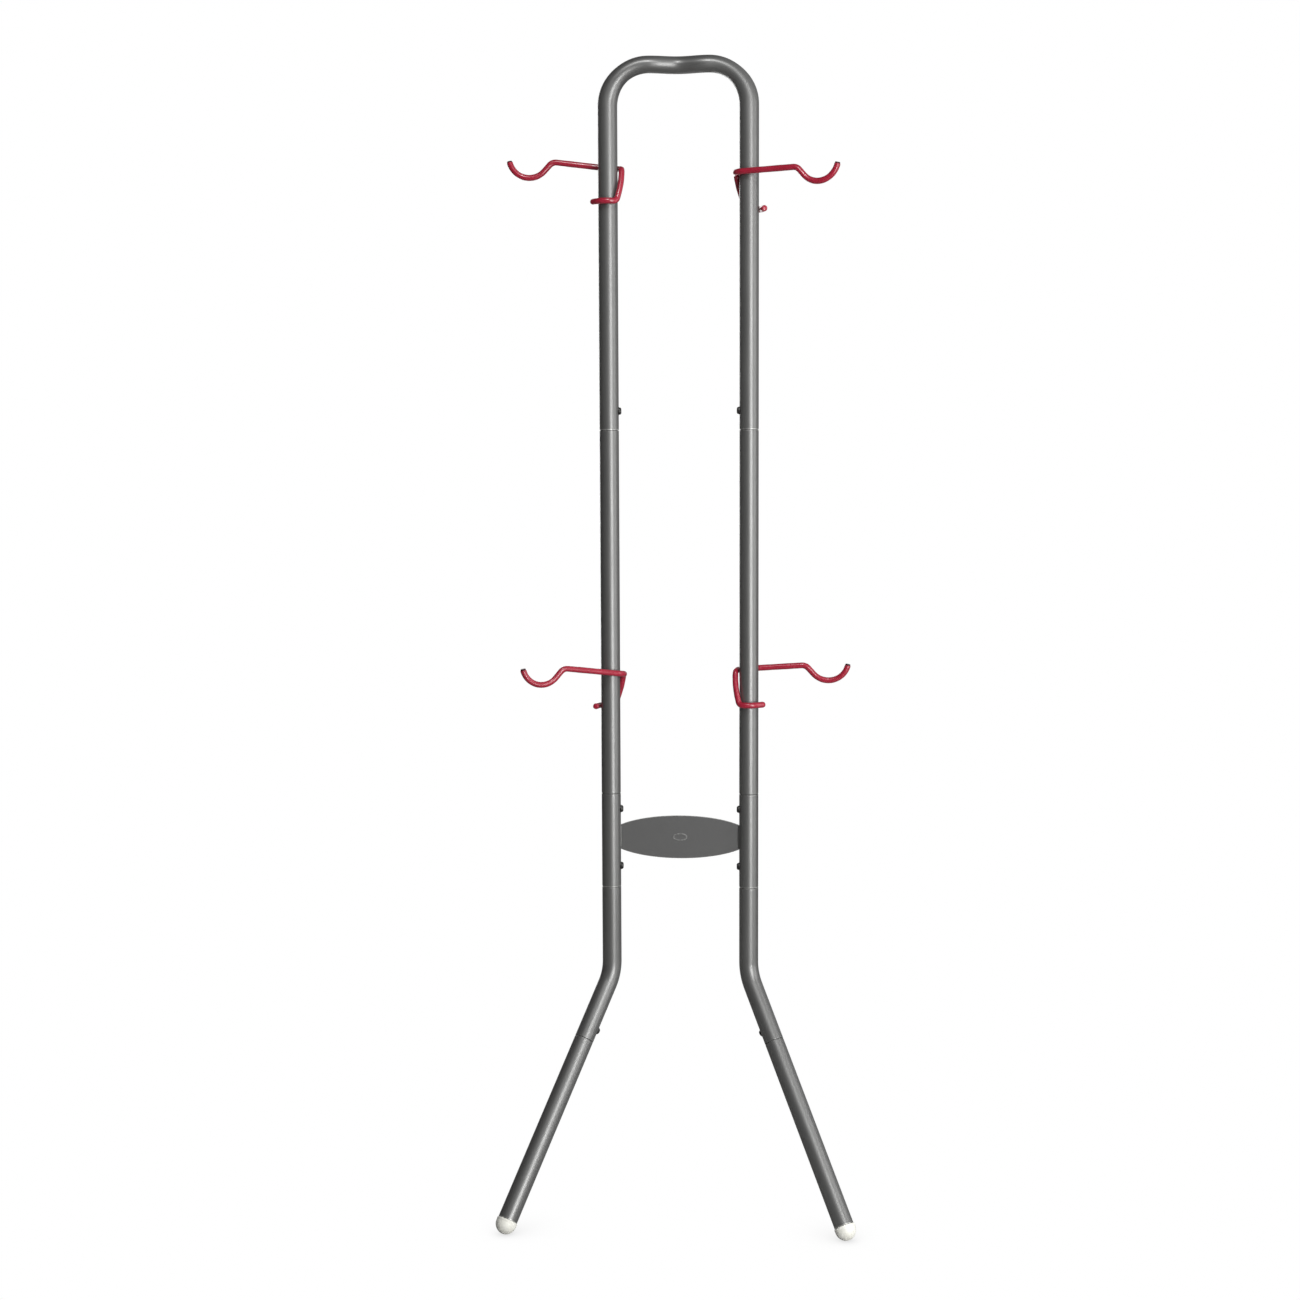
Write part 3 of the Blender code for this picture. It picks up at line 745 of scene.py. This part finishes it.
def make_badge(material):
    """A blank oval pressed up from the middle of the plate's front: a rim round a shallow dish."""
    face = UPRIGHT_Y - PLATE_THICKNESS / 2
    rings = []
    for share, rise, _ in BADGE_PROFILE:
        centre = Vector((0, face - rise, PLATE_HEIGHT))
        length = BADGE_HALF_LENGTH * share
        height = BADGE_HALF_HEIGHT * (1 - (1 - share) * BADGE_SQUASH)
        front = Vector((0, -1, 0))
        rings.append(oval(centre, front, Vector((1, 0, 0)), length, height, BADGE_SIDES))
    wear_and_glint = [wear_and_glint for _, _, wear_and_glint in BADGE_PROFILE]
    mesh = loft("brace_plate_badge", rings, closed=False, wear_and_glint=wear_and_glint)
    add_piece("brace_plate_badge", mesh, material, "frame")


def make_welds(material):
    """Fillet welds down both faces of the plate's ends, with the ripples of the bead."""
    for label, side in SIDES:
        for face_label, face in (("front", -1), ("back", 1)):
            offset = face * PLATE_THICKNESS / 2
            reach = math.sqrt(TUBE_RADIUS**2 - offset**2)
            x = side * (UPRIGHT_X - reach + WELD_OVERLAP)
            points = []
            outline = []
            for i in range(WELD_STEPS + 1):
                along = -1 + 2 * i / WELD_STEPS
                rise = along * WELD_HALF_LENGTH
                points.append(Vector((x, UPRIGHT_Y + offset, PLATE_HEIGHT + rise)))
                taper = math.sqrt(max(1 - along**6, WELD_END_SHARE))
                dip = 1 - abs(math.sin(math.pi * rise / WELD_RIPPLE_LENGTH))
                radius = WELD_RADIUS * taper * (1 - WELD_RIPPLE_SHARE * dip)
                outline.append((WELD_HALF_LENGTH + rise, radius, 0.0))
            name = f"brace_plate_weld_{label}_{face_label}"
            mesh = sweep(name, points, Vector((1, 0, 0)), outline, WELD_SIDES, closed=False)
            add_piece(name, mesh, material, "frame")


# ---------------------------------------------------------------- bolts


def leg_bolt_direction(side):
    """Square to the leg, inwards and turned towards the wall."""
    along = leg_axis(side).normalized()
    inward = Vector((-side, 0, 0))
    inward = (inward - along * inward.dot(along)).normalized()
    backward = along.cross(inward)
    if backward.y < 0:
        backward = -backward
    return inward * math.cos(LEG_BOLT_TURN) + backward * math.sin(LEG_BOLT_TURN)


def bolt_places():
    """Name, axis point, outward direction and tube direction of each joint bolt."""
    heights = {"upper": UPPER_SEAM, "middle": MIDDLE_SEAM, "lower": LOWER_SEAM}
    places = []
    for label, side in SIDES:
        inward = Vector((-side, 0, 0))
        for joint, seam in heights.items():
            point = upright_point(side, seam + BOLT_OFFSETS[joint])
            places.append((f"{label}_{joint}", point, inward, Vector((0, 0, 1))))
        point = leg_point(side, LEG_SEAM_DISTANCE + BOLT_OFFSETS["leg"])
        along = leg_axis(side).normalized()
        places.append((f"{label}_leg", point, leg_bolt_direction(side), along))
    return places


def bolt_rings():
    """(radius, height) of a bolt from its shank, under its head and over the crown."""
    rings = [
        (SHANK_RADIUS - SHANK_CHAMFER / 2, SHANK_CUT),
        (SHANK_RADIUS, SHANK_CUT + SHANK_CHAMFER),
        (SHANK_RADIUS, WASHER_TOP),
        (HEAD_RADIUS - HEAD_UNDERCUT, WASHER_TOP),
        (HEAD_RADIUS, WASHER_TOP + HEAD_UNDERCUT),
    ]
    crown_base = WASHER_TOP + HEAD_EDGE
    for x, y in arc(1.0, 0, 90, 8):
        radius = HEAD_FLAT_RADIUS + (HEAD_RADIUS - HEAD_FLAT_RADIUS) * x
        rings.append((radius, crown_base + (HEAD_TOP - crown_base) * y))
    return rings


def make_bolt_head(name, point, direction, material):
    """A button-head bolt with a hexagon socket."""
    across = direction.orthogonal().normalized()
    side = direction.cross(across)
    rows = []
    for radius, height in bolt_rings():
        rows.append(circle(point + direction * height, direction, across, radius, BOLT_SIDES))
    socket = (
        (1.04, 0.0),
        (1.0, SOCKET_CHAMFER),
        (1.0, SOCKET_DEPTH),
        (0.3, SOCKET_DEPTH + SOCKET_POINT),
    )
    for share, drop in socket:
        ring = []
        for i in range(BOLT_SIDES):
            angle = math.tau * i / BOLT_SIDES
            turn = (angle % (math.pi / 3)) - math.pi / 6
            radius = SOCKET_RADIUS * math.cos(math.pi / 6) / math.cos(turn) * share
            offset = across * (radius * math.cos(angle)) + side * (radius * math.sin(angle))
            ring.append(point + direction * (HEAD_TOP - drop) + offset)
        rows.append(ring)
    mesh = loft(f"{name}_head", rows, closed=False)
    add_piece(f"{name}_head", mesh, material, "frame", [name])


def make_washer(name, point, direction, along, material):
    """A saddle washer: flat under the head, hollowed to sit on the tube."""
    side = direction.cross(along)
    corners = (
        (WASHER_BORE_RADIUS, False),
        (WASHER_RADIUS, False),
        (WASHER_RADIUS, True),
        (WASHER_BORE_RADIUS, True),
    )
    rows = []
    for radius, on_top in corners:
        ring = []
        for i in range(BOLT_SIDES):
            angle = math.tau * i / BOLT_SIDES
            up = radius * math.cos(angle)
            aside = radius * math.sin(angle)
            height = math.sqrt(TUBE_RADIUS**2 - aside**2) + WASHER_GAP
            if on_top:
                height = WASHER_TOP - WASHER_GAP
            ring.append(point + direction * height + along * up + side * aside)
        rows.append(ring)
    mesh = loft(f"{name}_washer", rows, closed=True)
    add_piece(f"{name}_washer", mesh, material, "frame")


def make_bolts(material):
    """Eight joint bolts, each on its saddle washer."""
    for label, point, direction, along in bolt_places():
        make_bolt_head(f"{label}_bolt", point, direction, material)
        make_washer(f"{label}_bolt", point, direction, along, material)


# ---------------------------------------------------------------- feet and pad


def cap_rings(centre):
    """(radius, distance) of a foot cap: its stem, its rolled collar and its dome."""
    seat = centre - CAP_RIM + CAP_SEAT_GAP
    stem_end = seat - STEM_LENGTH
    rings = [
        (STEM_RADIUS - STEM_CHAMFER, stem_end),
        (STEM_RADIUS, stem_end + STEM_CHAMFER_LENGTH),
        (STEM_RADIUS, seat),
    ]
    rounding = COLLAR_ROUNDING
    for x, y in arc(rounding, 180, 90, 4):
        rings.append((CAP_RADIUS - rounding + y, seat + rounding + x))
    rings.append((CAP_RADIUS, seat + COLLAR_LENGTH))
    rings.append((DOME_RADIUS, seat + COLLAR_LENGTH + COLLAR_STEP_LENGTH))
    for x, y in arc(1.0, 0, 90, DOME_STEPS)[:-1]:
        rings.append((DOME_RADIUS * x, centre + CAP_RADIUS * y))
    return rings


def cut_foot_flat(mesh):
    """Cuts a dome off just above the floor and closes it with a flat."""
    bm = bmesh.new()
    bm.from_mesh(mesh)
    cut = bmesh.ops.bisect_plane(
        bm,
        geom=bm.verts[:] + bm.edges[:] + bm.faces[:],
        plane_co=(0, 0, CAP_FLAT_HEIGHT),
        plane_no=(0, 0, -1),
        clear_outer=True,
    )
    rim = [part for part in cut["geom_cut"] if isinstance(part, bmesh.types.BMEdge)]
    bmesh.ops.contextual_create(bm, geom=rim)
    write_mesh(bm, mesh)


def make_foot_caps(material):
    """Domed plugs: a stem in the tube, a rolled collar, a dome flattened where it stands."""
    for label, side in SIDES:
        axis = leg_axis(side)
        name = f"{label}_foot_cap_moulded"
        rings = cap_rings(axis.length)
        knee = upright_point(side, KNEE_HEIGHT)
        mesh = turned(name, rings, axis.normalized(), knee, TUBE_SIDES)
        cut_foot_flat(mesh)
        add_piece(name, mesh, material, "frame", [f"{label}_foot_cap"])


def make_wall_pad(material):
    """The rubber saddle on the back of the crossbar's bow, grooved where it meets the wall."""
    up = Vector((0, 0, 1))
    rings = []
    for _, point, tangent, _ in measured_line(crossbar_points(PAD_HALF_WIDTH, PAD_STEPS), up):
        back = up.cross(tangent)
        from_end = PAD_HALF_WIDTH - abs(point.x)
        drawn_in = 0.0
        if from_end < PAD_END_LENGTH:
            drawn_in = 1 - math.sqrt(max(1 - (1 - from_end / PAD_END_LENGTH) ** 2, 0.0))
        wall = WALL_Y - PAD_END_ROUNDING * drawn_in
        in_groove = math.cos(math.tau * point.x / PAD_GROOVE_PITCH) > PAD_GROOVE_LEVEL
        if in_groove and from_end > PAD_GROOVE_MARGIN:
            wall -= PAD_GROOVE
        outer = PAD_SIDE_THICKNESS - PAD_END_ROUNDING * drawn_in
        half_angle = PAD_HALF_ANGLE - PAD_END_TURN * drawn_in
        ring = []
        for thickness, direction in ((PAD_GAP, 1), (outer, -1)):
            for i in range(PAD_ARC_STEPS + 1):
                angle = direction * half_angle * (1 - 2 * i / PAD_ARC_STEPS)
                deep = (TUBE_RADIUS * (1 + WIDENING) + thickness) * math.cos(angle)
                high = (TUBE_RADIUS * (1 - FLATTENING) + thickness) * math.sin(angle)
                corner = point + back * deep + up * high
                corner.y = min(corner.y, wall)
                ring.append(corner)
        rings.append(ring)
    mesh = loft("wall_pad_ribbed", rings, closed=False)
    add_piece("wall_pad_ribbed", mesh, material, "frame", ["wall_pad"])


# ---------------------------------------------------------------- hooks


def walk(start, heading, moves):
    """Points of a flat line of straights (length, 0, steps) and arcs (radius, turn, steps)."""
    x, y = start
    points = [(x, y)]
    for size, turn, steps in moves:
        for _ in range(steps):
            chord = size / steps
            if turn:
                chord = 2 * size * math.sin(abs(turn) / steps / 2)
            x += chord * math.cos(heading + turn / steps / 2)
            y += chord * math.sin(heading + turn / steps / 2)
            heading += turn / steps
            points.append((x, y))
    return points


def hook_line(hand, slope):
    """The wire's centre line from the cup's tip to the end of the stub, about the tube's axis."""
    profile = walk(
        (0.0, 0.0),
        slope,
        [
            (ARM_LENGTH, 0, 12),
            (CREST_RADIUS, -(slope + NECK_SLOPE), 14),
            (CUP_NECK_LENGTH, 0, 3),
            (CUP_RADIUS, NECK_SLOPE + CUP_END_SLOPE, 36),
        ],
    )
    line = [Vector((-out, hand * WRAP_RADIUS, up)) for out, up in profile[::-1]]

    bend = WRAP_BEND_RADIUS
    first_run = WRAP_RADIUS * WRAP_BEND_START / math.cos(slope)
    bends_drop = bend * (math.cos(slope) + 1 - 2 * math.cos(WRAP_DIVE))
    dive_drop = HOOK_DROP - first_run * math.sin(slope) - bends_drop
    dive = dive_drop / math.sin(WRAP_DIVE)
    bends_run = bend * (2 * math.sin(WRAP_DIVE) - math.sin(slope))
    used = WRAP_RADIUS * WRAP_BEND_START + bends_run + dive * math.cos(WRAP_DIVE)
    last_run = WRAP_RADIUS * WRAP_END - used
    unrolled = walk(
        (0.0, 0.0),
        -slope,
        [
            (first_run, 0, 18),
            (bend, -(WRAP_DIVE - slope), 12),
            (dive, 0, 10),
            (bend, WRAP_DIVE, 12),
            (last_run, 0, 20),
        ],
    )
    for run, up in unrolled[1:]:
        angle = run / WRAP_RADIUS
        x = WRAP_RADIUS * math.sin(angle)
        y = hand * WRAP_RADIUS * math.cos(angle)
        line.append(Vector((x, y, up)))
    leaving = Vector((math.cos(WRAP_END), -hand * math.sin(WRAP_END), 0))
    end = line[-1]
    for i in range(1, 5):
        line.append(end + leaving * (STUB_LENGTH * i / 4))
    return line


def vinyl_outline(length):
    """The vinyl skin's outline: rounded at both ends, slightly uneven between them."""
    rounding = VINYL_ROUNDING
    first = STEEL_SHOWING
    last = length - STEEL_SHOWING
    outline = [(first + VINYL_LIP, VINYL_LIP_RADIUS, 0.0)]
    for x, y in arc(rounding, 180, 90, 4):
        outline.append((first + rounding + x, WIRE_RADIUS - rounding + y, 0.0))
    run = last - first - 2 * rounding
    for i in range(1, VINYL_STEPS):
        distance = first + rounding + run * i / VINYL_STEPS
        swell = sum(depth * math.sin(distance * rate) for depth, rate in VINYL_WAVES)
        outline.append((distance, WIRE_RADIUS - VINYL_THINNING + swell, 0.0))
    for x, y in arc(rounding, 90, 0, 4):
        outline.append((last - rounding + x, WIRE_RADIUS - rounding + y, 0.0))
    outline.append((last - VINYL_LIP, VINYL_LIP_RADIUS, 0.0))
    return outline


def make_hooks(vinyl, bare_steel):
    """Four hooks: the vinyl skin, the dark cut wire at the cup's tip, and the stub's dipped end."""
    for joint in frame["joints"]:
        if joint["type"] != "hinge":
            continue
        body = joint["child"]
        label = body.removesuffix("_hook")
        side = 1 if "right" in label else -1
        half_turn = math.pi if side > 0 else 0.0
        turn = Matrix.Rotation(half_turn - side * math.radians(HOOK_SWIVELS[label]), 3, "Z")
        line = hook_line(HOOK_HANDS[label], math.radians(ARM_SLOPES[label]))
        points = [Vector(joint["pos_m"]) + turn @ point for point in line]
        length = line_length(points)
        across = turn @ Vector((0, 1, 0))

        name = f"{label}_hook_vinyl"
        mesh = sweep(name, points, across, vinyl_outline(length), WIRE_SIDES, closed=False)
        add_piece(name, mesh, vinyl, body, [f"{label}_hook", f"{label}_slip_ring"])

        cup_end = [(distance, radius, 0.0) for distance, radius in WIRE_END]
        stub_end = [(length - distance, radius, 0.0) for distance, radius in WIRE_END[::-1]]
        for end, outline, material in (("cup", cup_end, bare_steel), ("stub", stub_end, vinyl)):
            name = f"{label}_hook_{end}_end"
            mesh = sweep(name, points, across, outline, WIRE_SIDES, closed=False)
            add_piece(name, mesh, material, body)


# ---------------------------------------------------------------- studio


def make_floor():
    """A pale floor: white to the camera with soft contact shadows, duller as a bounce."""
    bm = bmesh.new()
    bmesh.ops.create_circle(bm, cap_ends=True, segments=96, radius=FLOOR_RADIUS)
    floor = bpy.data.objects.new("studio_floor", finish_mesh("studio_floor", bm))
    material, tree, shader = shader_nodes("pale_floor")
    shader.inputs["Base Color"].default_value = (0.30, 0.30, 0.295, 1.0)
    shader.inputs["Roughness"].default_value = 0.9
    contact = tree.nodes.new("ShaderNodeAmbientOcclusion")
    contact.inputs["Distance"].default_value = CONTACT_DISTANCE
    white = tree.nodes.new("ShaderNodeEmission")
    shadow = spread(tree, contact.outputs["AO"], 0.70, 1.0, 0.0, 0.92)
    tree.links.new(shadow, white.inputs["Strength"])
    seen = tree.nodes.new("ShaderNodeLightPath")
    mix = tree.nodes.new("ShaderNodeMixShader")
    tree.links.new(seen.outputs["Is Camera Ray"], mix.inputs["Fac"])
    tree.links.new(shader.outputs["BSDF"], mix.inputs[1])
    tree.links.new(white.outputs["Emission"], mix.inputs[2])
    tree.links.new(mix.outputs["Shader"], tree.nodes["Material Output"].inputs["Surface"])
    material.cycles.emission_sampling = "NONE"
    floor.data.materials.append(material)
    bpy.context.scene.collection.objects.link(floor)


def make_world():
    """White behind the object; for its reflections, dark on the left and grey on the right."""
    world = bpy.data.worlds.new("studio")
    bpy.context.scene.world = world
    world.use_nodes = True
    tree = world.node_tree
    place = tree.nodes.new("ShaderNodeTexCoord")
    parts = tree.nodes.new("ShaderNodeSeparateXYZ")
    tree.links.new(place.outputs["Generated"], parts.inputs["Vector"])
    grey = spread(tree, parts.outputs["X"], 0.075, 0.36, -0.05, 0.50)
    room = tree.nodes["Background"]
    room.inputs["Color"].default_value = (1, 1, 1, 1)
    tree.links.new(grey, room.inputs["Strength"])
    white = tree.nodes.new("ShaderNodeBackground")
    white.inputs["Color"].default_value = (1, 1, 1, 1)
    white.inputs["Strength"].default_value = 1.0
    seen = tree.nodes.new("ShaderNodeLightPath")
    mix = tree.nodes.new("ShaderNodeMixShader")
    tree.links.new(seen.outputs["Is Camera Ray"], mix.inputs["Fac"])
    tree.links.new(room.outputs["Background"], mix.inputs[1])
    tree.links.new(white.outputs["Background"], mix.inputs[2])
    tree.links.new(mix.outputs["Shader"], tree.nodes["World Output"].inputs["Surface"])


def softbox(name, place, aim_height, width, height, power):
    """A rectangular soft light turned towards a height on the rack's middle."""
    light = bpy.data.lights.new(name, "AREA")
    light.shape = "RECTANGLE"
    light.size = width
    light.size_y = height
    light.energy = power
    lamp = bpy.data.objects.new(name, light)
    lamp.location = place
    aim = Vector((0, UPRIGHT_Y, aim_height)) - Vector(place)
    lamp.rotation_euler = aim.to_track_quat("-Z", "Y").to_euler()
    lamp.visible_camera = False
    bpy.context.scene.collection.objects.link(lamp)


def around(azimuth, distance, height):
    """A place round the rack; azimuth 0 is in front and 90 on the right, in degrees."""
    angle = math.radians(azimuth)
    return (distance * math.sin(angle), UPRIGHT_Y - distance * math.cos(angle), height)


def make_lights():
    """A tall key softbox and a low one by it, one at the side, two above and one behind."""
    softbox("key", around(30, 3.2, 1.4), 1.1, width=1.0, height=2.8, power=69)
    softbox("key_low", around(32, 3.1, 0.45), 0.6, width=0.9, height=0.7, power=7)
    softbox("side", around(75, 2.4, 1.4), 1.2, width=0.9, height=2.6, power=16)
    softbox("front_top", (0.0, -2.40, 3.80), 1.7, width=2.6, height=0.35, power=14)
    softbox("spark", (-0.10, -1.70, 3.60), 2.2, width=0.10, height=0.10, power=15)
    softbox("back_fill", around(200, 3.2, 1.8), 1.1, width=1.8, height=2.6, power=45)


def make_camera():
    """The camera in front of the rack, a little to its right."""
    data = bpy.data.cameras.new("camera")
    data.sensor_width = SENSOR_WIDTH
    data.lens = LENS
    data.clip_start = 0.05
    camera = bpy.data.objects.new("camera", data)
    camera.location = CAMERA_PLACE
    level = Euler((math.pi / 2 + CAMERA_PITCH, 0, CAMERA_TURN)).to_matrix()
    camera.rotation_euler = (level @ Matrix.Rotation(CAMERA_ROLL, 3, "Z")).to_euler()
    bpy.context.scene.collection.objects.link(camera)
    bpy.context.scene.camera = camera


def main():
    """Builds the looks round the frame."""
    bpy.context.scene.view_settings.view_transform = "Standard"
    make_camera()
    graphite = powder_coat(
        "graphite_powder_coat",
        dark=(0.200, 0.200, 0.197),
        light=(0.240, 0.240, 0.236),
        smooth=0.40,
        rough=0.45,
        metallic=0.70,
        gloss=0.16,
    )
    matte = powder_coat(
        "matte_powder_coat",
        dark=(0.121, 0.121, 0.120),
        light=(0.131, 0.131, 0.130),
        smooth=0.62,
        rough=0.72,
        metallic=0.3,
    )
    coated_weld = powder_coat(
        "coated_weld",
        dark=(0.12, 0.12, 0.118),
        light=(0.17, 0.17, 0.166),
        smooth=0.34,
        rough=0.50,
        metallic=0.5,
    )
    bolt_steel = steel(
        "black_oxide_steel",
        dark=(0.045, 0.045, 0.046),
        light=(0.095, 0.093, 0.090),
        smooth=0.30,
        rough=0.48,
        stain_scale=420,
    )
    zinc = steel(
        "zinc_plated_steel",
        dark=(0.42, 0.42, 0.40),
        light=(0.60, 0.60, 0.57),
        smooth=0.28,
        rough=0.45,
        stain_scale=300,
    )
    bare_steel = steel(
        "cut_wire_steel",
        dark=(0.050, 0.022, 0.026),
        light=(0.11, 0.045, 0.052),
        smooth=0.35,
        rough=0.55,
        stain_scale=700,
    )
    make_tubes(graphite)
    make_plate(matte)
    make_badge(matte)
    make_welds(coated_weld)
    make_bolts(bolt_steel)
    make_foot_caps(moulded_plastic())
    make_wall_pad(moulded_rubber())
    make_hooks(dipped_vinyl(), bare_steel)
    for name, node in frame["nodes"].items():
        if name.endswith("_nut"):
            node.data.materials.clear()
            node.data.materials.append(zinc)
    make_floor()
    make_world()
    make_lights()


main()
